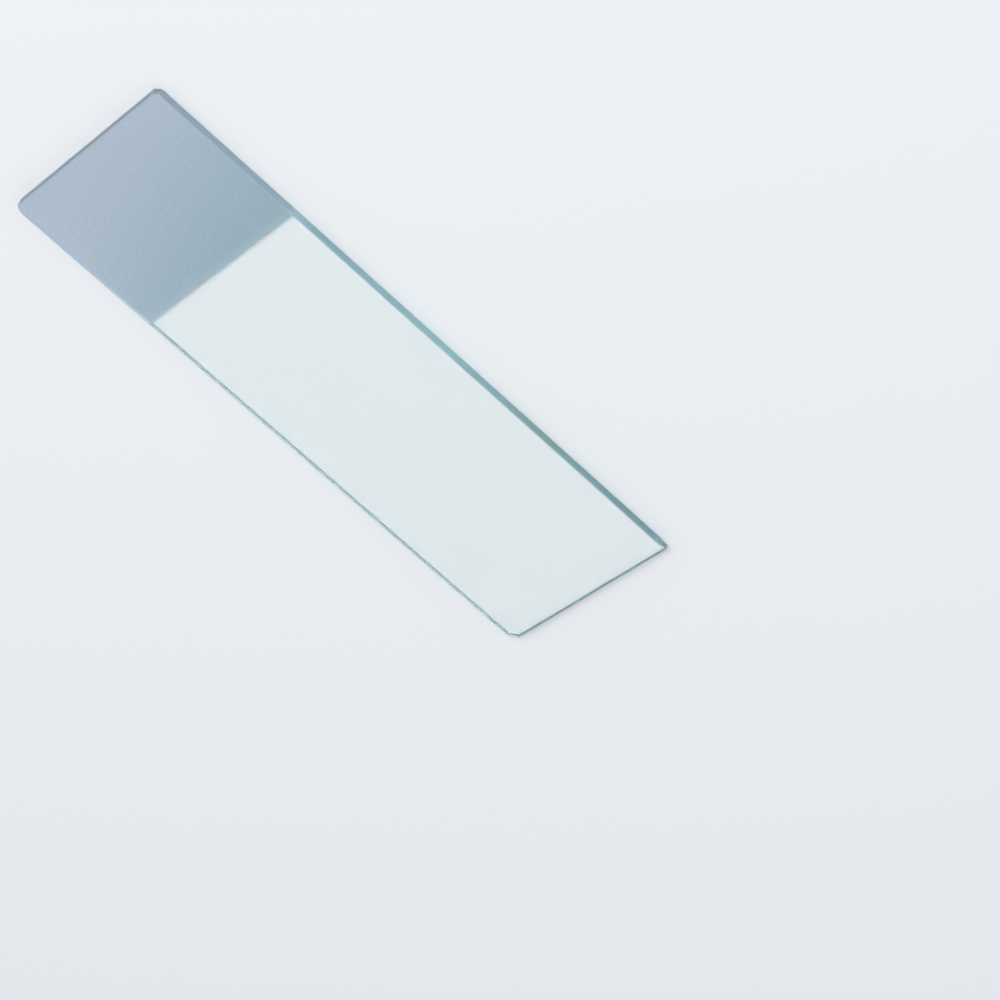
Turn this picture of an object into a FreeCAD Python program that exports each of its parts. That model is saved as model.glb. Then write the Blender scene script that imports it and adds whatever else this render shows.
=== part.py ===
"""Microscope slide: one pane of glass with ground edges, clipped corners and one frosted end.

Frame: +X runs from the frosted end to the clear end, +Y is the left long edge when looking
that way, +Z is up and out of the frosted face. The origin is the centre of the underside.
All sizes are in millimetres and live in the spreadsheet called Sizes.
"""
import FreeCAD, Part
import os
import Sketcher

# Start and end point of a sketch edge, and the sketch's own origin, as Sketcher numbers them.
START = 1
END = 2
ORIGIN = -1

# Driving dimensions: alias, value and what it sets.
SIZES = [
    ("slide_length", 76.2, "long side of the pane, 3 inches"),
    ("slide_width", 25.4, "short side of the pane, 1 inch"),
    ("slide_thickness", 1.1, "thickness of the float glass"),
    ("edge_bevel", 0.1, "leg of the ground seam along every rim, top and bottom"),
    ("corner_blend", 0.45, "radius where a clipped corner runs into an edge"),
    ("frosted_length", 19.6, "writing area, from the frosted end"),
    ("frosted_depth", 0.02, "glass that the frosting takes off the upper face"),
    ("clip_frosted_left_along", 0.6, "left corner of the frosted end, leg along X"),
    ("clip_frosted_left_across", 0.78, "left corner of the frosted end, leg along Y"),
    ("clip_frosted_right_along", 1.08, "right corner of the frosted end, leg along X"),
    ("clip_frosted_right_across", 0.42, "right corner of the frosted end, leg along Y"),
    ("clip_clear_left_along", 0.1, "left corner of the clear end, leg along X"),
    ("clip_clear_left_across", 0.1, "left corner of the clear end, leg along Y"),
    ("clip_clear_right_along", 0.9, "right corner of the clear end, leg along X"),
    ("clip_clear_right_across", 0.9, "right corner of the clear end, leg along Y"),
    ("chip_radius", 1.15, "radius of the shell-shaped chip in the clear end's left corner"),
    ("chip_centre_in", 0.42, "centre of the chip, inwards from the clear end"),
    ("chip_centre_out", 0.95, "centre of the chip, outwards from the left long edge"),
    ("chip_centre_up", 0.2, "centre of the chip, above the lower face"),
]


def write_sizes(doc):
    """The spreadsheet: name, value and meaning in columns A, B and C."""
    sheet = doc.addObject("Spreadsheet::Sheet", "Sizes")
    for row, (alias, value, meaning) in enumerate(SIZES, start=1):
        sheet.set(f"A{row}", alias)
        sheet.set(f"B{row}", str(value))
        sheet.set(f"C{row}", meaning)
        sheet.setAlias(f"B{row}", alias)
    doc.recompute()
    return sheet


def base_plane(body):
    """The XY plane of the body's own origin."""
    for feature in body.Origin.OriginFeatures:
        if feature.Role == "XY_Plane":
            return feature
    raise RuntimeError("the body has no XY plane")


def flat_sketch(body, name):
    """A sketch that lies on the body's XY plane."""
    sketch = body.newObject("Sketcher::SketchObject", name)
    sketch.AttachmentSupport = (base_plane(body), "")
    sketch.MapMode = "FlatFace"
    return sketch


def closed_outline(sketch, points):
    """Lines through the points in order, joined end to start. Edge N starts at point N."""
    corners = [FreeCAD.Vector(x, y, 0) for x, y in points]
    following = corners[1:] + corners[:1]
    for start, end in zip(corners, following):
        sketch.addGeometry(Part.LineSegment(start, end), False)
    for edge in range(len(corners)):
        next_edge = (edge + 1) % len(corners)
        sketch.addConstraint(Sketcher.Constraint("Coincident", edge, END, next_edge, START))


def dimension(sketch, kind, first, second, name, formula):
    """A driving distance from the first point to the second, bound to the spreadsheet."""
    value = sketch.evalExpression(formula)
    sketch.addConstraint(Sketcher.Constraint(kind, *first, *second, value))
    sketch.renameConstraint(sketch.ConstraintCount - 1, name)
    sketch.setExpression(f"Constraints.{name}", formula)


def draw_outline(body, sheet):
    """The pane seen from above: a rectangle whose four corners are clipped by hand.

    The edges run anticlockwise from the right long edge: right long edge, clear right clip,
    clear end, clear left clip, left long edge, frosted left clip, frosted end and
    frosted right clip.
    """
    sketch = flat_sketch(body, "PaneOutline")
    half_length = sheet.slide_length / 2
    half_width = sheet.slide_width / 2
    points = [
        (-half_length + sheet.clip_frosted_right_along, -half_width),
        (half_length - sheet.clip_clear_right_along, -half_width),
        (half_length, -half_width + sheet.clip_clear_right_across),
        (half_length, half_width - sheet.clip_clear_left_across),
        (half_length - sheet.clip_clear_left_along, half_width),
        (-half_length + sheet.clip_frosted_left_along, half_width),
        (-half_length, half_width - sheet.clip_frosted_left_across),
        (-half_length, -half_width + sheet.clip_frosted_right_across),
    ]
    closed_outline(sketch, points)
    right_edge, clear_end, left_edge, frosted_end = 0, 2, 4, 6
    sketch.addConstraint(Sketcher.Constraint("Horizontal", right_edge))
    sketch.addConstraint(Sketcher.Constraint("Horizontal", left_edge))
    sketch.addConstraint(Sketcher.Constraint("Vertical", clear_end))
    sketch.addConstraint(Sketcher.Constraint("Vertical", frosted_end))

    centre = (ORIGIN, START)
    half_x = "Sizes.slide_length / 2"
    half_y = "Sizes.slide_width / 2"
    dimension(sketch, "DistanceX", centre, (clear_end, START), "to_clear_end", half_x)
    dimension(sketch, "DistanceX", (frosted_end, START), centre, "to_frosted_end", half_x)
    dimension(sketch, "DistanceY", centre, (left_edge, START), "to_left_edge", half_y)
    dimension(sketch, "DistanceY", (right_edge, START), centre, "to_right_edge", half_y)

    # Each clip: its name, then the two points of its X leg and the two of its Y leg,
    # each pair in the direction that makes the distance positive.
    clips = [
        ("clear_right", (right_edge, END), (clear_end, START), (right_edge, END), (clear_end, START)),
        ("clear_left", (left_edge, START), (clear_end, END), (clear_end, END), (left_edge, START)),
        ("frosted_left", (frosted_end, START), (left_edge, END), (frosted_end, START), (left_edge, END)),
        ("frosted_right", (frosted_end, END), (right_edge, START), (right_edge, START), (frosted_end, END)),
    ]
    for corner, x_first, x_second, y_first, y_second in clips:
        along = f"clip_{corner}_along"
        across = f"clip_{corner}_across"
        dimension(sketch, "DistanceX", x_first, x_second, along, f"Sizes.{along}")
        dimension(sketch, "DistanceY", y_first, y_second, across, f"Sizes.{across}")
    return sketch


def raise_pane(body, outline):
    """The pane itself, from the underside up."""
    pad = body.newObject("PartDesign::Pad", "Pane")
    pad.Profile = outline
    pad.setExpression("Length", "Sizes.slide_thickness")
    return pad


def edge_names(shape, wanted):
    """The names of the shape's edges for which wanted(edge) is true."""
    return [f"Edge{number}" for number, edge in enumerate(shape.Edges, start=1) if wanted(edge)]


def is_upright(edge):
    """True for an edge that runs straight up, at a corner of the outline."""
    box = edge.BoundBox
    return box.ZLength > box.XLength + box.YLength


def is_level(edge):
    """True for an edge of the upper or the lower rim."""
    return not is_upright(edge)


def is_blended(edge):
    """True for the upright edges of the three well clipped corners.

    The clear end's left corner was hardly ground, so its small clip keeps crisp edges.
    """
    middle = edge.CenterOfMass
    at_clear_left = middle.x > 0 and middle.y > 0
    return is_upright(edge) and not at_clear_left


def blend_corners(body, pane):
    """Rounds the upright edges, where a clip meets a long edge or an end."""
    fillet = body.newObject("PartDesign::Fillet", "CornerBlends")
    fillet.Base = (pane, edge_names(pane.Shape, is_blended))
    fillet.setExpression("Radius", "Sizes.corner_blend")
    return fillet


def grind_rims(body, blended):
    """The ground seams: a narrow bevel right round the upper and the lower rim."""
    chamfer = body.newObject("PartDesign::Chamfer", "GroundSeams")
    chamfer.Base = (blended, edge_names(blended.Shape, is_level))
    chamfer.setExpression("Size", "Sizes.edge_bevel")
    return chamfer


def frost_end(body, sheet):
    """The writing area: the upper face, ground down by a hair from the frosted end."""
    sketch = flat_sketch(body, "FrostedArea")
    sketch.setExpression("AttachmentOffset.Base.z", "Sizes.slide_thickness")
    outer = -sheet.slide_length / 2
    inner = outer + sheet.frosted_length
    side = sheet.slide_width / 2
    closed_outline(sketch, [(outer, -side), (inner, -side), (inner, side), (outer, side)])
    right_side, boundary, left_side, end = 0, 1, 2, 3
    sketch.addConstraint(Sketcher.Constraint("Horizontal", right_side))
    sketch.addConstraint(Sketcher.Constraint("Horizontal", left_side))
    sketch.addConstraint(Sketcher.Constraint("Vertical", boundary))
    sketch.addConstraint(Sketcher.Constraint("Vertical", end))

    centre = (ORIGIN, START)
    half_y = "Sizes.slide_width / 2"
    dimension(sketch, "DistanceX", (end, START), centre, "to_frosted_end", "Sizes.slide_length / 2")
    dimension(sketch, "DistanceX", (end, START), (boundary, START), "reach", "Sizes.frosted_length")
    dimension(sketch, "DistanceY", centre, (left_side, START), "to_left_edge", half_y)
    dimension(sketch, "DistanceY", (right_side, START), centre, "to_right_edge", half_y)

    pocket = body.newObject("PartDesign::Pocket", "Frosting")
    pocket.Profile = sketch
    pocket.setExpression("Length", "Sizes.frosted_depth")
    return pocket


def chip_corner(body):
    """A shell-shaped chip where the left long edge meets the clear end.

    Its centre lies well off the long edge, so that the shell is shallow, and low down: it takes
    the last millimetre of the edge from the lower face upwards, and leaves the upper rim whole.
    """
    chip = body.newObject("PartDesign::SubtractiveSphere", "Chip")
    chip.AttachmentSupport = (base_plane(body), "")
    chip.MapMode = "FlatFace"
    chip.setExpression("Radius", "Sizes.chip_radius")
    place = {
        "x": "Sizes.slide_length / 2 - Sizes.chip_centre_in",
        "y": "Sizes.slide_width / 2 + Sizes.chip_centre_out",
        "z": "Sizes.chip_centre_up",
    }
    for axis, formula in place.items():
        chip.setExpression(f"AttachmentOffset.Base.{axis}", formula)
    return chip


def settle(doc, feature, before, grows):
    """Recomputes, and checks that the feature added or removed glass as it should."""
    doc.recompute()
    after = feature.Shape.Volume
    changed = after > before if grows else after < before
    if not changed:
        raise RuntimeError(f"{feature.Name} left the glass as it was")
    print(f"{feature.Name}: {after:.3f} mm3")
    return after


def build_slide(doc, sheet):
    """The whole slide, in the order in which it is made: cut, seamed, frosted, then chipped."""
    body = doc.addObject("PartDesign::Body", "GlassSlide")
    body.Label = "glass_slide"
    outline = draw_outline(body, sheet)
    pane = raise_pane(body, outline)
    volume = settle(doc, pane, 0, grows=True)
    blended = blend_corners(body, pane)
    volume = settle(doc, blended, volume, grows=False)
    seamed = grind_rims(body, blended)
    volume = settle(doc, seamed, volume, grows=False)
    frosted = frost_end(body, sheet)
    volume = settle(doc, frosted, volume, grows=False)
    chip = chip_corner(body)
    settle(doc, chip, volume, grows=False)
    return body


def check(doc, body):
    """Stops if an object failed to compute or the body isn't one sound solid."""
    for item in doc.Objects:
        if "Invalid" in item.State or "Error" in item.State:
            raise RuntimeError(f"{item.Name} did not compute: {item.State}")
    shape = body.Shape
    if shape.isNull() or not shape.isValid():
        raise RuntimeError(f"{body.Label} has no valid shape")
    if len(shape.Solids) != 1:
        raise RuntimeError(f"{body.Label} is {len(shape.Solids)} solids, not one")


doc = FreeCAD.newDocument("MicroscopeSlide")
sheet = write_sizes(doc)
slide = build_slide(doc, sheet)
check(doc, slide)
os.makedirs("parts", exist_ok=True)
slide.Shape.exportStep(f"parts/{slide.Label}.step")
box = slide.Shape.optimalBoundingBox()
print(f"{slide.Label}: {box.XLength:.2f} x {box.YLength:.2f} x {box.ZLength:.2f} mm")
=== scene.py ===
# %% [markdown]
# # A microscope slide with one frosted end
#
# The object is one pane of float glass, an inch wide and three inches long. Its rims are ground
# to a narrow seam so that they don't cut, its corners are clipped, and one end is frosted so
# that a pencil can write on it. Everything that is seen comes from how the finishes on one piece
# of clear glass (polished, ground, frosted, and broken at one corner) bend and scatter light.
#
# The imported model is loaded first. It is the fixed frame: it says how big the pane is and where
# it lies, and nothing below moves it.

# %% Load the frame
import math

import bmesh
import bpy
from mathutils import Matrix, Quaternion, Vector, noise


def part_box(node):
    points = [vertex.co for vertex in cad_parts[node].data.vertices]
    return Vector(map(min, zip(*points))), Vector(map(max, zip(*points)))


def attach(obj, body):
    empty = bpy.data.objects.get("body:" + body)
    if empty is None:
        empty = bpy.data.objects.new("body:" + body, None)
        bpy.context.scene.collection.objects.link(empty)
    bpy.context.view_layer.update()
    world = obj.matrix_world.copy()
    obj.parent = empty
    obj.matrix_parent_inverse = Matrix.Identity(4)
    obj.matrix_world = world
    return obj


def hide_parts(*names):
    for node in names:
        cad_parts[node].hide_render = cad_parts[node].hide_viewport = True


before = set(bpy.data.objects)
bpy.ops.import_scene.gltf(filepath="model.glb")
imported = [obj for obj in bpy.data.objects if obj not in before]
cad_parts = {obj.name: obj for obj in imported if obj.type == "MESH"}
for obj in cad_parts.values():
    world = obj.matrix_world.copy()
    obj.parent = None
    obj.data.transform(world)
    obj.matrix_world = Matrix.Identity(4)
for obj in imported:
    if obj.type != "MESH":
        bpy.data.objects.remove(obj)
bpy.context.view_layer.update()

MM = 0.001
low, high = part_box("glass_slide")
size = high - low
print(f"pane: {size.x / MM:.1f} x {size.y / MM:.1f} x {size.z / MM:.2f} mm")

# %% [markdown]
# ## The camera
#
# A slide is looked at from above and a little from one side, so that the polished face, one
# long side and one end all show. A long lens keeps its edges almost parallel. The camera is
# placed in plain terms: what it aims at, from which side, how high, how far away, and how far
# it is turned about its own axis.

# %% Camera
AIM = Vector((22.62, 1.16, 0.0)) * MM
AZIMUTH = math.radians(117.63)
ELEVATION = math.radians(45.35)
DISTANCE = 388.8 * MM
ROLL = math.radians(-158.89)
LENS = 126.0
NEAREST_SHOWN = 10.0 * MM


def look_direction(azimuth, elevation):
    """The unit vector from what is looked at towards the eye."""
    level = math.cos(elevation)
    return Vector((math.cos(azimuth) * level, math.sin(azimuth) * level, math.sin(elevation)))


def add_camera():
    """A camera at the named place, turned by ROLL about the line of sight."""
    towards_eye = look_direction(AZIMUTH, ELEVATION)
    data = bpy.data.cameras.new("view")
    data.lens = LENS
    data.clip_start = NEAREST_SHOWN
    camera = bpy.data.objects.new("view", data)
    camera.rotation_mode = "QUATERNION"
    upright = (-towards_eye).to_track_quat("-Z", "Y")
    camera.rotation_quaternion = Quaternion(towards_eye, ROLL) @ upright
    camera.location = AIM + towards_eye * DISTANCE
    bpy.context.scene.collection.objects.link(camera)
    bpy.context.scene.camera = camera
    return camera


camera = add_camera()
print("camera at", [round(c / MM, 1) for c in camera.location], "mm")

# %% [markdown]
# ## The outline of the pane
#
# Seen from above, the pane is a rectangle whose corners were clipped one by one on a grinding
# belt, so no two clips are quite the same. A primitive cube would have no clips, and a boolean
# for each corner would be heavy for what is a drawing of eight points. So the outline is drawn
# as one flat face, and the bevel operator, told to work on vertices, rounds the points a little,
# as the belt does.
#
# The legs of each clip are given along the long edge and across it, and then the radius at which
# the belt blended it in. A corner is named by its signs: -1 is the frosted end and the right long
# edge, 1 the clear end and the left long edge. The belt hardly touched the clear end's left
# corner, so that one stays crisp.

# %% Outline
CLIPS = {
    (-1, -1): (1.08 * MM, 0.42 * MM, 1.05 * MM),
    (1, -1): (0.90 * MM, 0.90 * MM, 0.45 * MM),
    (1, 1): (0.10 * MM, 0.10 * MM, 0.0),
    (-1, 1): (0.60 * MM, 0.78 * MM, 0.45 * MM),
}
BLEND_SEGMENTS = 6


def clipped_corner(side_x, side_y):
    """The two outline points of one clipped corner, in anticlockwise order."""
    leg_along, leg_across, _ = CLIPS[side_x, side_y]
    corner = Vector((side_x * size.x / 2, side_y * size.y / 2, low.z))
    on_long_edge = corner - Vector((side_x * leg_along, 0, 0))
    on_end = corner - Vector((0, side_y * leg_across, 0))
    return (on_end, on_long_edge) if side_x == side_y else (on_long_edge, on_end)


def turn_at(vert):
    """How far the outline turns at a point."""
    before, after = [edge.other_vert(vert).co - vert.co for edge in vert.link_edges]
    return math.pi - before.angle(after)


def round_point(bm, vert, radius):
    """Rounds one point of the outline."""
    reach = radius * math.tan(turn_at(vert) / 2)
    bmesh.ops.bevel(
        bm, geom=[vert], offset=reach, offset_type="OFFSET", segments=BLEND_SEGMENTS,
        profile=0.5, affect="VERTICES", material=-1,
    )


def draw_outline(bm):
    """One flat face with clipped corners, rounded where the belt blended them in."""
    pairs = {}
    for corner in CLIPS:
        pairs[corner] = [bm.verts.new(point) for point in clipped_corner(*corner)]
    bm.faces.new([vert for pair in pairs.values() for vert in pair])
    for corner, pair in pairs.items():
        blend = CLIPS[corner][2]
        if blend:
            for vert in pair:
                round_point(bm, vert, blend)


pane = bmesh.new()
draw_outline(pane)
print(f"outline: {len(pane.verts)} points")

# %% [markdown]
# ## From outline to pane
#
# The straight edges are divided first, because the grinding that comes later needs points to
# move. Then the face is extruded upwards by the thickness of the glass, which makes a closed
# prism.

# %% Pane
GRIND_STEP = 1.2 * MM


def divide_straight_edges(bm):
    """Puts a point about every GRIND_STEP along the long edges and the ends."""
    for edge in list(bm.edges):
        cuts = int(edge.calc_length() / GRIND_STEP)
        if cuts:
            bmesh.ops.subdivide_edges(bm, edges=[edge], cuts=cuts)


def raise_pane(bm):
    """Extrudes the outline to the thickness of the glass."""
    raised = bmesh.ops.extrude_face_region(bm, geom=bm.faces[:])
    upper = [item for item in raised["geom"] if isinstance(item, bmesh.types.BMVert)]
    bmesh.ops.translate(bm, verts=upper, vec=(0, 0, size.z))
    bmesh.ops.recalc_face_normals(bm, faces=bm.faces[:])


divide_straight_edges(pane)
raise_pane(pane)
print(f"prism: {len(pane.faces)} faces, {pane.calc_volume() / MM ** 3:.1f} mm3")

# %% [markdown]
# ## Ground seams
#
# Both rims of the prism are bevelled at 45 degrees. This is the seam that makes the glass safe
# to hold. It is ground on a belt, so its width wanders by a few hundredths of a millimetre along
# each edge. Smooth noise moves the seam's two borders, each one within the flat face
# that it belongs to, so that the polished and the ground faces stay flat.

# %% Seams
SEAM = 0.10 * MM
SEAM_WANDER = 0.028 * MM
WANDER_SCALE = 0.55 / MM
WANDER_LAYER_GAP = 17.3
# How far a size may be off: the height of a seam, a level line, and one point from another.
SEAM_WITHIN = SEAM / 10
LEVEL_WITHIN = SEAM / 100
SAME_POINT_WITHIN = SEAM / 1000


def is_level(edge):
    """True for an edge of the upper or lower rim."""
    return abs(edge.verts[0].co.z - edge.verts[1].co.z) < LEVEL_WITHIN


def cut_seams(bm):
    """Bevels the upper and the lower rim."""
    rims = [edge for edge in bm.edges if is_level(edge)]
    bmesh.ops.bevel(
        bm, geom=rims, offset=SEAM, offset_type="OFFSET", segments=1, profile=0.5,
        affect="EDGES", material=-1,
    )


def from_mid_height(vert):
    """How far a point lies above or below the middle of the glass."""
    return abs(vert.co.z - size.z / 2)


def wander(place, layer):
    """Smooth noise from 0 to 1 along the edges, different for each layer."""
    spot = Vector((place.x, place.y, 0)) * WANDER_SCALE
    return 0.5 + 0.5 * noise.noise(spot + Vector((0, 0, WANDER_LAYER_GAP * layer)))


def grind_unevenly(bm):
    """Lets both borders of each seam wander, in the planes of the faces they border."""
    moves = []
    for edge in bm.edges:
        outer, inner = sorted(edge.verts, key=from_mid_height)
        across = inner.co - outer.co
        is_seam_rib = abs(abs(across.z) - SEAM) < SEAM_WITHIN
        if is_seam_rib:
            upper = inner.co.z > size.z / 2
            rim = 1 if upper else 0
            inwards = Vector((across.x, across.y, 0)).normalized()
            down_or_up = Vector((0, 0, -1 if upper else 1))
            moves.append((inner, inwards * SEAM_WANDER * wander(inner.co, rim)))
            moves.append((outer, down_or_up * SEAM_WANDER * wander(outer.co, rim + 2)))
    for vert, step in moves:
        vert.co += step


cut_seams(pane)
grind_unevenly(pane)
print(f"seamed: {len(pane.faces)} faces, {pane.calc_volume() / MM ** 3:.1f} mm3")

# %% [markdown]
# ## The frosted end
#
# Frosting takes a hair of glass off the upper face, with a mask at its inner border. The upper
# face is cut twice, a hair apart, and everything on the frosted side of the cuts is lowered:
# the narrow strip between the cuts becomes the step. The strip is divided into short lengths
# that are nudged along the pane, because the edge of a mask is never quite straight.

# %% Frosted end
FROSTED_LENGTH = 19.6 * MM
FROSTED_DEPTH = 0.02 * MM
MASK_STEP = 0.4 * MM
MASK_WANDER = 0.07 * MM
MASK_SCALE = 0.9
MASK_LAYER = 4.0
boundary = low.x + FROSTED_LENGTH
step_end = boundary + FROSTED_DEPTH


def upper_faces(bm):
    """The polished face on top and what it has been cut into."""
    return [face for face in bm.faces if face.calc_center_median().z > high.z - LEVEL_WITHIN]


def cut_upper_face(bm, x):
    """Cuts the upper face across the pane, and returns the new edge."""
    around = [item for face in upper_faces(bm) for item in (face, *face.edges, *face.verts)]
    each_once = list(dict.fromkeys(around))
    cut = bmesh.ops.bisect_plane(
        bm, geom=each_once, dist=SAME_POINT_WITHIN, plane_co=(x, 0, 0), plane_no=(1, 0, 0)
    )
    return [item for item in cut["geom_cut"] if isinstance(item, bmesh.types.BMEdge)]


def lower_frosted_face(bm):
    """Takes FROSTED_DEPTH off the upper face, from the frosted end up to the step."""
    upper = {vert for face in upper_faces(bm) for vert in face.verts}
    for vert in upper:
        if vert.co.x < (boundary + step_end) / 2:
            vert.co.z -= FROSTED_DEPTH


def roughen_mask_border(bm):
    """Nudges the points of the step along the pane."""
    for vert in bm.verts:
        in_strip = boundary - LEVEL_WITHIN < vert.co.x < step_end + LEVEL_WITHIN
        if in_strip and vert.co.z > high.z - 2 * FROSTED_DEPTH:
            spot = Vector((vert.co.y / MM * MASK_SCALE, MASK_LAYER, 0))
            vert.co.x += MASK_WANDER * noise.noise(spot)


def frost(bm):
    """Lowers the frosted part of the upper face and roughens its inner border."""
    borders = cut_upper_face(bm, boundary) + cut_upper_face(bm, step_end)
    lower_frosted_face(bm)
    bmesh.ops.subdivide_edges(
        bm, edges=borders, cuts=int(size.y / MASK_STEP), use_grid_fill=True
    )
    roughen_mask_border(bm)


frost(pane)
print(f"frosted: {len(pane.faces)} faces, {pane.calc_volume() / MM ** 3:.1f} mm3")

# %% [markdown]
# ## Which face has which finish
#
# One solid of glass holds all the finishes, and light has to pass through it from any face to
# any other. If each finish were a material of its own, the renderer would lose track of the
# tinted inside when a ray goes in through one and comes out through another. So the pane has
# one material, and a colour attribute on the face corners says how the surface was worked:
# red is ground, green is frosted, blue is broken, all three together are crushed, and black is
# the polish of the float line. Red with a trace of blue is a bruise: ground, with a little of
# the look of broken and crushed glass.
#
# A second colour attribute gives each ground face a tint, and part of it is painted shade and
# light. The upper seam of the frosted end and the upper part of its face are painted dark, a
# painted shade, going over downwards into a pale tint, a painted light. Its left clip is painted
# darker towards its lower rim, a painted shade.
# The left long edge is painted blue beside the frosting, going over to a darker sea green towards
# the clear end, a painted shading along its length. The right long edge is the clearest, and is
# painted palest, a painted light. The attribute's fourth number says how much of the light goes
# through: the pale tint low on the frosted end throws most of it back.

# %% Finishes
GROUND = (1.0, 0.0, 0.0, 1.0)
FROSTED = (0.0, 1.0, 0.0, 1.0)
BROKEN = (0.0, 0.0, 1.0, 1.0)
CRUSHED = (1.0, 1.0, 1.0, 1.0)
BRUISED = (1.0, 0.0, 0.12, 1.0)
POLISHED = (0.0, 0.0, 0.0, 1.0)

THROUGH = 0.72
CLEAN = Vector((0.66, 0.80, 0.85, THROUGH))
# A painted light: the pale tint of the right long edge stands in for light on it.
PALE = Vector((0.68, 0.90, 0.96, 0.92))
# A painted shade: the dark tint on the upper part of the frosted end and at its clip's lower rim.
DARK_SHADE_TINT = Vector((0.23, 0.265, 0.31, THROUGH))
# A painted shade on the upper seam of the frosted end.
SEAM_SHADE_TINT = Vector((0.40, 0.455, 0.51, THROUGH))
# A painted light on the lower part of the frosted end, which also lets little light through.
LIT_PALE_TINT = Vector((0.66, 0.73, 0.80, 0.35))
HANDLED = Vector((0.62, 0.70, 0.75, THROUGH))
# A painted shade half way down the frosted end's left clip.
HALF_SHADE_TINT = Vector((0.42, 0.48, 0.52, THROUGH))
WORN = Vector((0.38, 0.56, 0.59, THROUGH))

# The way that each side of the pane looks out.
FROSTED_END = Vector((-1.0, 0.0))
FROSTED_LEFT_CLIP = Vector((-0.79, 0.61))
LEFT_EDGE = Vector((0.0, 1.0))
RIGHT_EDGE = Vector((0.0, -1.0))
CLEAR_END = Vector((1.0, 0.0))

# Heights between which the painted shade of the frosted end goes over into its painted light.
SHADE_DOWN_TO = 0.78 * MM
LIGHT_UP_TO = 0.25 * MM

# For each side, its tints on the upper seam, on the face from the upper height upwards, at the
# lower height, and at the lower rim. Between those heights one tint goes over into the next. On
# the frosted end this paints shade above and light below, and on its left clip it paints shade
# towards the lower rim.
SIDE_TINTS = [
    # Frosted end: painted shade above, painted light below.
    (FROSTED_END, SEAM_SHADE_TINT, DARK_SHADE_TINT, LIT_PALE_TINT, LIT_PALE_TINT),
    # Left clip of the frosted end: painted shade towards the lower rim.
    (FROSTED_LEFT_CLIP, HANDLED, HANDLED, HALF_SHADE_TINT, DARK_SHADE_TINT),
    (LEFT_EDGE, CLEAN, WORN, WORN, WORN),
    # Right long edge: painted light all over.
    (RIGHT_EDGE, PALE, PALE, PALE, PALE),
    (CLEAR_END, WORN, WORN, WORN, WORN),
]
# The left edge's face has tints of its own instead, at some places along the pane: a painted
# shading, blue beside the frosting and darker sea green towards the clear end.
LEFT_EDGE_TINTS = [
    (low.x, Vector((0.61, 0.72, 0.82, THROUGH))),
    (boundary - 2.0 * MM, Vector((0.69, 0.87, 0.99, THROUGH))),
    (boundary + 3.0 * MM, Vector((0.39, 0.55, 0.63, THROUGH))),
    (high.x - 33.0 * MM, Vector((0.46, 0.69, 0.75, THROUGH))),
    (high.x - 22.0 * MM, Vector((0.31, 0.46, 0.47, THROUGH))),
    (high.x - 10.0 * MM, Vector((0.28, 0.42, 0.43, THROUGH))),
    (high.x, Vector((0.37, 0.56, 0.62, THROUGH))),
]
# A face is flat, or belongs to an upper seam, when its normal rises by at least this much.
FLAT_FROM = 0.95
SEAM_FROM = 0.3


def finish_of(face):
    """What was done to a face, from the way it looks and where it lies."""
    middle = face.calc_center_median()
    if abs(face.normal.z) < FLAT_FROM:
        on_step = face.normal.z > SEAM_FROM and middle.z > high.z - FROSTED_DEPTH
        return FROSTED if on_step else GROUND
    frosted = face.normal.z > 0 and middle.x < boundary
    return FROSTED if frosted else POLISHED


def share(value, start, end):
    """How far a value has come from start to end, from 0 to 1."""
    return min(1.0, max(0.0, (value - start) / (end - start)))


def left_edge_tint(x):
    """The tint of the left edge's face at a place along the pane, a painted shading."""
    for (start, first), (end, second) in zip(LEFT_EDGE_TINTS, LEFT_EDGE_TINTS[1:]):
        if x <= end:
            break
    return first.lerp(second, share(x, start, end))


def tint_at(face, place):
    """The tint of a ground face at one of its corners."""
    outwards = face.normal.xy
    side, seam, upper_tint, middle_tint, lowest = max(SIDE_TINTS, key=lambda row: row[0].dot(outwards))
    if face.normal.z > SEAM_FROM:
        return seam
    if side is LEFT_EDGE:
        return left_edge_tint(place.x)
    # Painted shade and light: the tint goes over from one height to the next.
    if place.z > LIGHT_UP_TO:
        return middle_tint.lerp(upper_tint, share(place.z, LIGHT_UP_TO, SHADE_DOWN_TO))
    return lowest.lerp(middle_tint, share(place.z, low.z, LIGHT_UP_TO))


def part_sides(bm, height):
    """Cuts the sides of the pane along a level line, so that a tint can change there."""
    bmesh.ops.bisect_plane(
        bm, geom=bm.verts[:] + bm.edges[:] + bm.faces[:], dist=SAME_POINT_WITHIN,
        plane_co=(0, 0, height), plane_no=(0, 0, 1),
    )


def mark_finishes(bm):
    """Writes each face's finish and tint on its corners, and counts the faces by finish."""
    finishes = bm.loops.layers.float_color.new("finish")
    tints = bm.loops.layers.float_color.new("tint")
    counts = {}
    for face in bm.faces:
        finish = finish_of(face)
        counts[finish] = counts.get(finish, 0) + 1
        for corner in face.loops:
            corner[finishes] = finish
            corner[tints] = tint_at(face, corner.vert.co)
    return counts


part_sides(pane, SHADE_DOWN_TO)
part_sides(pane, LIGHT_UP_TO)
pane.normal_update()
counts = mark_finishes(pane)
print(f"faces: {counts[GROUND]} ground, {counts[FROSTED]} frosted, {counts[POLISHED]} polished")

# %% [markdown]
# ## The piece
#
# The bmesh is written to a mesh, whose object sits at the origin, unturned and unscaled, as
# a CAD node does. Its place is in its points.

# %% Piece
def make_object(name, bm):
    """An object with the bmesh as its mesh."""
    mesh = bpy.data.meshes.new(name)
    bm.to_mesh(mesh)
    bm.free()
    piece = bpy.data.objects.new(name, mesh)
    bpy.context.scene.collection.objects.link(piece)
    return piece


slide = make_object("glass_pane", pane)
print(f"{slide.name}: {len(slide.data.polygons)} faces")

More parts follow.
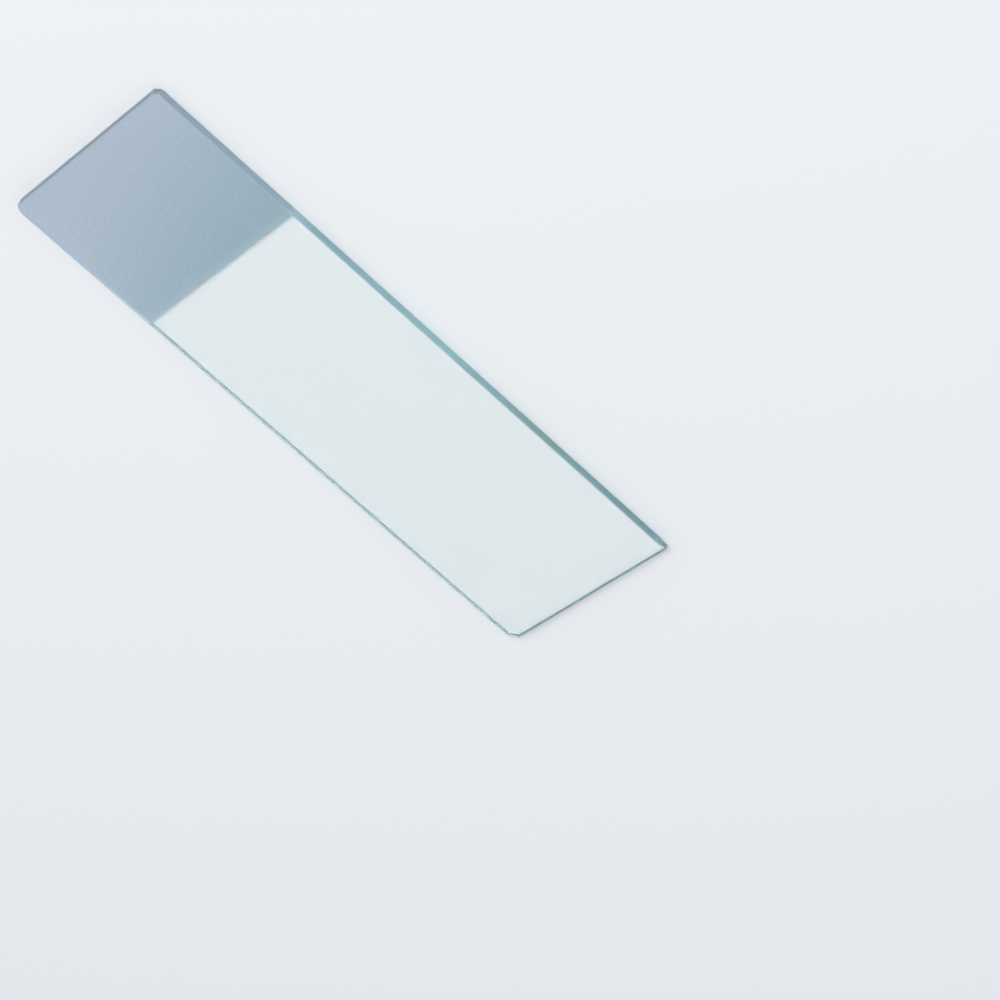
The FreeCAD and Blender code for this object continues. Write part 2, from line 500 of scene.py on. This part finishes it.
# %% [markdown]
# ## The chipped corner
#
# Glass breaks in shells: a blow at the rim leaves a shallow scoop with faint rings round the
# point that was hit, where the glass is crushed white. One corner lost such a flake, with a tiny
# nick in the long edge beside it. The scoops are cut out with a boolean, because their borders
# with the seams, the clip and the long edge are too irregular to draw. Each cutter is a ball
# whose radius swells and shrinks in rings. The flake's centre lies well off the long edge and
# low down, so that it takes the lower part of the last millimetre and leaves the upper seam,
# where the blow fell.

# %% Chips
CHIP_RADIUS = 1.15 * MM
CHIP_CENTRE = Vector((high.x - 0.42 * MM, high.y + 0.95 * MM, low.z + 0.20 * MM))
STRUCK = Vector((high.x - 0.54 * MM, high.y - 0.05 * MM, high.z - 0.05 * MM))
CRUSHED_RADIUS = 0.13 * MM
NICK = Vector((high.x - 1.56 * MM, high.y + 0.10 * MM, high.z - 0.45 * MM))
NICK_RADIUS = 0.18 * MM
UPWARDS = Vector((0, 0, MM))
RING_DEPTH = 0.003
RINGS_IN_A_TURN = 30
RING_WANDER = 2.5
RING_WANDER_SCALE = 2


def shell_cutter(name, centre, radius, struck, finish, subdivisions=5):
    """A ball with rings round the direction in which the glass was struck."""
    bm = bmesh.new()
    bmesh.ops.create_icosphere(bm, subdivisions=subdivisions, radius=radius)
    for vert in bm.verts:
        waviness = RING_WANDER * noise.noise(vert.co / radius * RING_WANDER_SCALE)
        turn = (struck - centre).angle(vert.co)
        vert.co *= 1 + RING_DEPTH * math.cos(turn * RINGS_IN_A_TURN + waviness)
    bmesh.ops.translate(bm, verts=bm.verts, vec=centre)
    finishes = bm.loops.layers.float_color.new("finish")
    tints = bm.loops.layers.float_color.new("tint")
    for face in bm.faces:
        for corner in face.loops:
            corner[finishes] = finish
            corner[tints] = CLEAN
    return make_object(name, bm)


def cut_away(piece, cutter):
    """Takes the cutter's space out of the piece for good."""
    cut = piece.modifiers.new("cut", "BOOLEAN")
    cut.operation = "DIFFERENCE"
    cut.solver = "EXACT"
    cut.object = cutter
    depsgraph = bpy.context.evaluated_depsgraph_get()
    result = bpy.data.meshes.new_from_object(piece.evaluated_get(depsgraph))
    piece.modifiers.clear()
    piece.data = result
    bpy.data.objects.remove(cutter)


flake = shell_cutter("chip_cutter", CHIP_CENTRE, CHIP_RADIUS, STRUCK, BROKEN, subdivisions=6)
cut_away(slide, flake)
crushed = shell_cutter("crushed_cutter", STRUCK, CRUSHED_RADIUS, STRUCK + UPWARDS, CRUSHED)
cut_away(slide, crushed)
nick = shell_cutter("nick_cutter", NICK, NICK_RADIUS, NICK + UPWARDS, BRUISED)
cut_away(slide, nick)
print(f"{slide.name}: {len(slide.data.polygons)} faces with the chips")

# %% [markdown]
# ## Smooth and sharp edges
#
# The rounded corner points and the scoop of the chip should shade as curves, and every other
# edge of cut glass is crisp. All faces are set smooth, and each edge that turns by more than
# about ten degrees is marked sharp. Points that the booleans left on top of each other are made
# one first, because an edge of no length has no angle to measure.

# %% Shading
SHARP_FROM = math.radians(12)


def set_shading(piece):
    """Smooth faces, with sharp edges where the surface really turns. Counts the sharp edges."""
    bm = bmesh.new()
    bm.from_mesh(piece.data)
    bmesh.ops.remove_doubles(bm, verts=bm.verts, dist=SAME_POINT_WITHIN)
    for face in bm.faces:
        face.smooth = True
    for edge in bm.edges:
        edge.smooth = edge.calc_face_angle() < SHARP_FROM
    sharp = sum(1 for edge in bm.edges if not edge.smooth)
    bm.to_mesh(piece.data)
    bm.free()
    return sharp


sharp = set_shading(slide)
print(f"{slide.name}: {sharp} sharp edges of {len(slide.data.edges)}")

# %% [markdown]
# ## Nodes and finishes
#
# The finishes differ in colour, in roughness, in how much light they let through and in their
# grain. A material for each would be simple, but there is only one, so the attribute picks
# between the finishes for each of these. by_finish builds that choice. It lays the finishes over
# each other in the order given. Crushed comes last, because its mark holds all the colours.

# %% Node helpers
def add_node(tree, kind, **settings):
    """A shader node with its properties set."""
    node = tree.nodes.new(kind)
    for name, value in settings.items():
        setattr(node, name, value)
    return node


def plug(tree, socket, value):
    """Sets a socket to a number or a colour, or links it to another socket."""
    if isinstance(value, bpy.types.NodeSocket):
        tree.links.new(value, socket)
    elif isinstance(value, tuple):
        socket.default_value = (*value, 1.0)
    else:
        socket.default_value = value


def mix(tree, kind, factor, without, fully):
    """Blends two numbers (kind FLOAT) or two colours (kind RGBA)."""
    node = add_node(tree, "ShaderNodeMix", data_type=kind)
    inputs = [socket for socket in node.inputs if socket.enabled]
    for socket, value in zip(inputs, (factor, without, fully)):
        plug(tree, socket, value)
    return [socket for socket in node.outputs if socket.enabled][0]


def by_finish(tree, kind, masks, polished, **others):
    """The polished finish's number or colour, with each other finish laid over it."""
    level = polished
    for finish, value in others.items():
        level = mix(tree, kind, masks[finish], level, value)
    return level


def math_node(tree, operation, first, second):
    """One product or comparison."""
    node = add_node(tree, "ShaderNodeMath", operation=operation)
    plug(tree, node.inputs[0], first)
    plug(tree, node.inputs[1], second)
    return node.outputs[0]


def ramp(tree, value, from_low, from_high, to_low=0.0, to_high=1.0, easing="LINEAR"):
    """Stretches a number from one range to another and holds it there."""
    node = add_node(tree, "ShaderNodeMapRange", interpolation_type=easing)
    for socket, number in zip(node.inputs, (value, from_low, from_high, to_low, to_high)):
        plug(tree, socket, number)
    return node.outputs["Result"]


def scale_colour(tree, colour, strength):
    """A colour made stronger or weaker by a number."""
    node = add_node(tree, "ShaderNodeVectorMath", operation="SCALE")
    tree.links.new(colour, node.inputs[0])
    tree.links.new(strength, node.inputs["Scale"])
    return node.outputs["Vector"]


print("node helpers ready")

# %% [markdown]
# ## Patterns on the glass
#
# No surface of a used slide is even: the frosting is grainy, the belt leaves scratches, fingers
# leave smears, and dust settles. Pictures of these would not fit another size of pane. They are
# patterns worked out from the place on the object, in millimetres, so they look the same from
# every side and stay on the glass when it is moved.

# %% Pattern helpers
def per_millimetre(tree, place, stretch):
    """The place in millimetres, stretched along each axis."""
    node = add_node(tree, "ShaderNodeMapping")
    node.inputs["Scale"].default_value = [factor / MM for factor in stretch]
    tree.links.new(place, node.inputs["Vector"])
    return node.outputs["Vector"]


def grain(tree, place, scale, detail=2.0, stretch=(1.0, 1.0, 1.0)):
    """Noise over the object, from 0 to 1. scale is how many spots go into a millimetre."""
    node = add_node(tree, "ShaderNodeTexNoise")
    node.inputs["Scale"].default_value = scale
    node.inputs["Detail"].default_value = detail
    tree.links.new(per_millimetre(tree, place, stretch), node.inputs["Vector"])
    return node.outputs["Fac"]


def along(tree, place, direction, start, end):
    """How far a place lies along a direction, easing from 0 at start to 1 at end."""
    node = add_node(tree, "ShaderNodeVectorMath", operation="DOT_PRODUCT")
    tree.links.new(place, node.inputs[0])
    node.inputs[1].default_value = direction
    return ramp(tree, node.outputs["Value"], start, end, easing="SMOOTHSTEP")


def specks(tree, place, spacing, radius, share_of_cells):
    """Sparse round specks, 1 inside and 0 outside, one to a cell. Lengths are in millimetres."""
    cells = add_node(tree, "ShaderNodeTexVoronoi")
    cells.inputs["Scale"].default_value = 1 / spacing
    tree.links.new(per_millimetre(tree, place, (1.0, 1.0, 0.0)), cells.inputs["Vector"])
    channels = add_node(tree, "ShaderNodeSeparateColor")
    tree.links.new(cells.outputs["Color"], channels.inputs["Color"])
    chosen = math_node(tree, "LESS_THAN", channels.outputs["Red"], share_of_cells)
    reach = math_node(tree, "MULTIPLY", channels.outputs["Green"], radius / spacing)
    inside = math_node(tree, "LESS_THAN", cells.outputs["Distance"], reach)
    return math_node(tree, "MULTIPLY", chosen, inside)


print("pattern helpers ready")

# %% [markdown]
# ## Frost, breaks and dust
#
# The frosted face is a field of tiny pits. It scatters what comes through and also
# shines back some of the light like a thin blue-grey paint, so it is part clear and part
# solid. It is painted lighter at its outer right corner and darker inwards, a painted shading,
# its grain moves the colour a few hundredths up and down, and here and there a pit is painted
# pale, a painted glint. A pale line is painted along the right rim, a painted highlight for the
# light that runs inside the pane and leaves it there.
#
# The broken corner is smooth but dull, and painted a mottled brownish grey, a painted shadow.
# Dust is a finish too: a few specks of it lie on the polished faces.

# %% Frost, breaks and dust
# A painted shading: the frost is lighter at its outer end and darker towards the clear glass.
LIT_FROST_TINT = (0.550, 0.632, 0.735)
SHADED_FROST_TINT = (0.380, 0.530, 0.595)
FROST_SLANT = Vector((1.0, 0.30, 0.0))
LIT_FROST_UNTIL = low.x - 0.9 * MM
SHADED_FROST_FROM = boundary + 7.0 * MM
# A painted highlight: the pale line along the frosted face's right rim.
PAINTED_RIM_HIGHLIGHT = (0.69, 0.80, 0.91)
RIM_LIGHT_WIDTH = 0.35 * MM
RIM_LIGHT_FROM = low.x + 5.0 * MM
TO_CLEAR_END = (1, 0, 0)
TO_RIGHT_EDGE = (0, -1, 0)
FROST_GRAIN_SHADE = 0.065
# A painted highlight: the colour of pits that seem to catch the light.
PAINTED_GLINT = (0.68, 0.76, 0.83)
# A painted shadow: the darker and paler brownish grey mottled over the broken corner.
BREAK_SHADE_DARK = (0.36, 0.29, 0.28)
BREAK_SHADE_PALE = (0.84, 0.78, 0.76)
# Blender's noise hardly ever leaves this range.
NOISE_LOW = 0.3
NOISE_HIGH = 0.7


def painted_rim_highlight(tree, place):
    """1 on a line just inside the right seam, from a little way in up to the clear glass: a
    painted highlight.
    """
    line_starts = -low.y - SEAM - 1.5 * RIM_LIGHT_WIDTH
    sideways = along(tree, place, TO_RIGHT_EDGE, line_starts, line_starts + RIM_LIGHT_WIDTH)
    lengthwise = along(tree, place, TO_CLEAR_END, RIM_LIGHT_FROM, boundary)
    return math_node(tree, "MULTIPLY", sideways, lengthwise)


def frost_colour(tree, place):
    """Blue-grey, painted darker inwards, with a painted rim highlight, grain and painted glints.
    """
    # Painted shading, from lighter at the outer end to darker inwards.
    frost_shading = along(tree, place, FROST_SLANT, LIT_FROST_UNTIL, SHADED_FROST_FROM)
    shade = mix(tree, "RGBA", frost_shading, LIT_FROST_TINT, SHADED_FROST_TINT)
    # The painted highlight along the right rim.
    shade = mix(tree, "RGBA", painted_rim_highlight(tree, place), shade, PAINTED_RIM_HIGHLIGHT)
    fine = grain(tree, place, scale=2.8, detail=3.0)
    weakest = 1 - FROST_GRAIN_SHADE
    strongest = 1 + FROST_GRAIN_SHADE
    strength = ramp(tree, fine, NOISE_LOW, NOISE_HIGH, weakest, strongest)
    # Painted glints: sparse pale specks on the frost.
    painted_glints = specks(tree, place, spacing=0.5, radius=0.07, share_of_cells=0.08)
    return mix(tree, "RGBA", painted_glints, scale_colour(tree, shade, strength), PAINTED_GLINT)


def break_colour(tree, place):
    """Mottled brownish grey, a painted shadow."""
    mottle = ramp(tree, grain(tree, place, scale=4.5, detail=3.0), from_low=0.4, from_high=0.6)
    return mix(tree, "RGBA", mottle, BREAK_SHADE_DARK, BREAK_SHADE_PALE)


def finish_masks(tree, place):
    """For each finish other than polished, a number that is 1 where it lies."""
    finish = add_node(tree, "ShaderNodeAttribute", attribute_name="finish")
    split = add_node(tree, "ShaderNodeSeparateColor")
    tree.links.new(finish.outputs["Color"], split.inputs["Color"])
    red, green, blue = [split.outputs[channel] for channel in ("Red", "Green", "Blue")]
    return {
        "dust": specks(tree, place, spacing=2.4, radius=0.12, share_of_cells=0.12),
        "ground": red,
        "frosted": green,
        "broken": blue,
        "crushed": math_node(tree, "MULTIPLY", red, blue),
    }


print("frost, breaks and dust ready")

# %% [markdown]
# ## The glass
#
# Soda-lime glass is faintly green, and only a long path through it shows the colour: across
# the thin pane it looks clear, and along the edges it turns sea green. A plain Volume
# Absorption does this by itself, once it is told how strongly each metre of glass takes from
# red, green and blue.
#
# Ground edges are coarser than the frosting and let more through. The belt runs along each edge,
# so the scratches in them are drawn out lengthwise. The glass is crushed white where it was
# struck. On the polish, fingers left the faintest smears.

# %% Glass
GLASS_IOR = 1.518
TAKEN_PER_METRE = Vector((17.0, 5.0, 5.4))
POLISH = (0.985, 0.995, 0.992)
DUST = (0.72, 0.74, 0.75)
CRUSHED_GLASS = (0.90, 0.97, 0.97)
SCRATCH_SHADE = 0.07
ROUGHEST_SMEAR = 0.05
SMOOTHEST_FROST = 0.52
ROUGHEST_FROST = 0.62
MID_HEIGHT = 0.5
RELIEF_STRENGTH = 0.5
RELIEF_DEPTH = 0.02 * MM


def colour_of(tree, place, masks, tint, scratches):
    """The colour of each finish."""
    weakest = 1 - SCRATCH_SHADE
    strongest = 1 + SCRATCH_SHADE
    scratched = ramp(tree, scratches, NOISE_LOW, NOISE_HIGH, weakest, strongest)
    return by_finish(
        tree, "RGBA", masks,
        polished=POLISH,
        dust=DUST,
        ground=scale_colour(tree, tint, scratched),
        frosted=frost_colour(tree, place),
        broken=break_colour(tree, place),
        crushed=CRUSHED_GLASS,
    )


def roughness_of(tree, place, masks):
    """How much each finish scatters. The polish has smears, and the frost has patches."""
    smear = grain(tree, place, scale=0.25, detail=4.0, stretch=(1.0, 0.35, 1.0))
    patchy = grain(tree, place, scale=0.12, detail=2.0)
    return by_finish(
        tree, "FLOAT", masks,
        polished=ramp(tree, smear, NOISE_LOW, NOISE_HIGH, 0.0, ROUGHEST_SMEAR),
        dust=0.9,
        ground=0.40,
        frosted=ramp(tree, patchy, NOISE_LOW, NOISE_HIGH, SMOOTHEST_FROST, ROUGHEST_FROST),
        broken=0.15,
        crushed=0.8,
    )


def clearness_of(tree, masks, tint_through):
    """How much of the light each finish lets through."""
    return by_finish(
        tree, "FLOAT", masks,
        polished=1.0,
        dust=0.2,
        ground=tint_through,
        frosted=0.45,
        broken=0.8,
        crushed=0.2,
    )


def relief_of(tree, place, masks, scratches):
    """The surface's direction: scratched where ground, pitted where frosted, flat elsewhere."""
    pits = grain(tree, place, scale=8.0, detail=2.0)
    height = by_finish(
        tree, "FLOAT", masks,
        polished=MID_HEIGHT,
        ground=scratches,
        frosted=pits,
        broken=MID_HEIGHT,
    )
    bump = add_node(tree, "ShaderNodeBump")
    bump.inputs["Strength"].default_value = RELIEF_STRENGTH
    bump.inputs["Distance"].default_value = RELIEF_DEPTH
    tree.links.new(height, bump.inputs["Height"])
    return bump.outputs["Normal"]


def tinted_inside(tree):
    """The green of the glass itself."""
    inside = add_node(tree, "ShaderNodeVolumeAbsorption")
    most = max(TAKEN_PER_METRE)
    kept = [1 - taken / most for taken in TAKEN_PER_METRE]
    inside.inputs["Density"].default_value = most
    inside.inputs["Color"].default_value = (*kept, 1.0)
    return inside.outputs["Volume"]


def make_glass():
    """One material for the pane, with all its finishes."""
    material = bpy.data.materials.new("slide_glass")
    material.use_nodes = True
    tree = material.node_tree
    shader = tree.nodes["Principled BSDF"]
    output = tree.nodes["Material Output"]
    place = add_node(tree, "ShaderNodeTexCoord").outputs["Object"]
    tint = add_node(tree, "ShaderNodeAttribute", attribute_name="tint")
    masks = finish_masks(tree, place)
    scratches = grain(tree, place, scale=1.0, detail=3.0, stretch=(0.5, 0.5, 14.0))

    colour = colour_of(tree, place, masks, tint.outputs["Color"], scratches)
    clearness = clearness_of(tree, masks, tint.outputs["Alpha"])
    tree.links.new(colour, shader.inputs["Base Color"])
    tree.links.new(roughness_of(tree, place, masks), shader.inputs["Roughness"])
    tree.links.new(clearness, shader.inputs["Transmission Weight"])
    tree.links.new(relief_of(tree, place, masks, scratches), shader.inputs["Normal"])
    shader.inputs["IOR"].default_value = GLASS_IOR
    tree.links.new(tinted_inside(tree), output.inputs["Volume"])
    return material


slide.data.materials.clear()
slide.data.materials.append(make_glass())
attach(slide, "root")
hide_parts("glass_slide")
print("glass on", slide.name)

# %% [markdown]
# ## The table top
#
# The pane lies on a plain pale table top. Glass shows what lies behind it, so anything darker or
# patterned would be seen through the pane as if it belonged to it. The top is a hair below the
# pane, because two faces at the same height would flicker.

# %% Table top
FLOOR_COLOUR = (0.80, 0.81, 0.82, 1.0)
FLOOR_ROUGHNESS = 0.8
FLOOR_SHINE = 0.2
FLOOR_REACH = 3.0
FLOOR_GAP = 0.01 * MM


def make_floor():
    """A wide matt table top just under the pane."""
    bm = bmesh.new()
    bmesh.ops.create_grid(bm, x_segments=1, y_segments=1, size=FLOOR_REACH)
    bmesh.ops.translate(bm, verts=bm.verts, vec=(0, 0, low.z - FLOOR_GAP))
    floor = make_object("table_top", bm)
    material = bpy.data.materials.new("table_top")
    material.use_nodes = True
    shader = material.node_tree.nodes["Principled BSDF"]
    shader.inputs["Base Color"].default_value = FLOOR_COLOUR
    shader.inputs["Roughness"].default_value = FLOOR_ROUGHNESS
    shader.inputs["Specular IOR Level"].default_value = FLOOR_SHINE
    floor.data.materials.append(material)
    return floor


print("pane on", make_floor().name)

# %% [markdown]
# ## The light
#
# Glass is also shown by what it reflects. Small hard lamps would leave bright points on the
# polish and nothing else, so the light is broad and soft: a pale world all round and one large
# panel.

# %% Light
WORLD_COLOUR = (0.93, 0.96, 1.0, 1.0)
WORLD_STRENGTH = 0.70


def make_world():
    """Pale light from all round."""
    world = bpy.data.worlds.new("studio")
    world.use_nodes = True
    background = world.node_tree.nodes["Background"]
    background.inputs["Color"].default_value = WORLD_COLOUR
    background.inputs["Strength"].default_value = WORLD_STRENGTH
    bpy.context.scene.world = world


def add_panel(name, azimuth, elevation, distance, width, power):
    """A square soft light that faces the pane."""
    data = bpy.data.lights.new(name, "AREA")
    data.size = width
    data.energy = power
    lamp = bpy.data.objects.new(name, data)
    direction = look_direction(math.radians(azimuth), math.radians(elevation))
    lamp.location = direction * distance
    lamp.rotation_mode = "QUATERNION"
    lamp.rotation_quaternion = (-direction).to_track_quat("-Z", "Y")
    bpy.context.scene.collection.objects.link(lamp)


make_world()
add_panel("key_panel", azimuth=150, elevation=52, distance=0.9, width=0.6, power=4.5)
print("lit")

# %% [markdown]
# ## How far light may travel in the glass
#
# Light that enters an edge runs on inside the pane, thrown back and forth between its two faces,
# and comes out of the opposite edge sea green. Each turn counts as a glossy bounce, and the usual
# limit of four stops it after a few millimetres and leaves the edges black. The limits are
# raised, and the usual blurring of clear glass is turned off, because on a thin pane it loses
# half of the light that should reach the table below.

# %% Light paths
INSIDE_TURNS = 32


def let_light_travel(scene):
    """Raises the limits on bounces inside the glass."""
    scene.cycles.max_bounces = INSIDE_TURNS
    scene.cycles.glossy_bounces = INSIDE_TURNS
    scene.cycles.transmission_bounces = INSIDE_TURNS
    scene.cycles.blur_glossy = 0.0
    scene.view_settings.view_transform = "Standard"


let_light_travel(bpy.context.scene)
print(f"light may turn {INSIDE_TURNS} times")
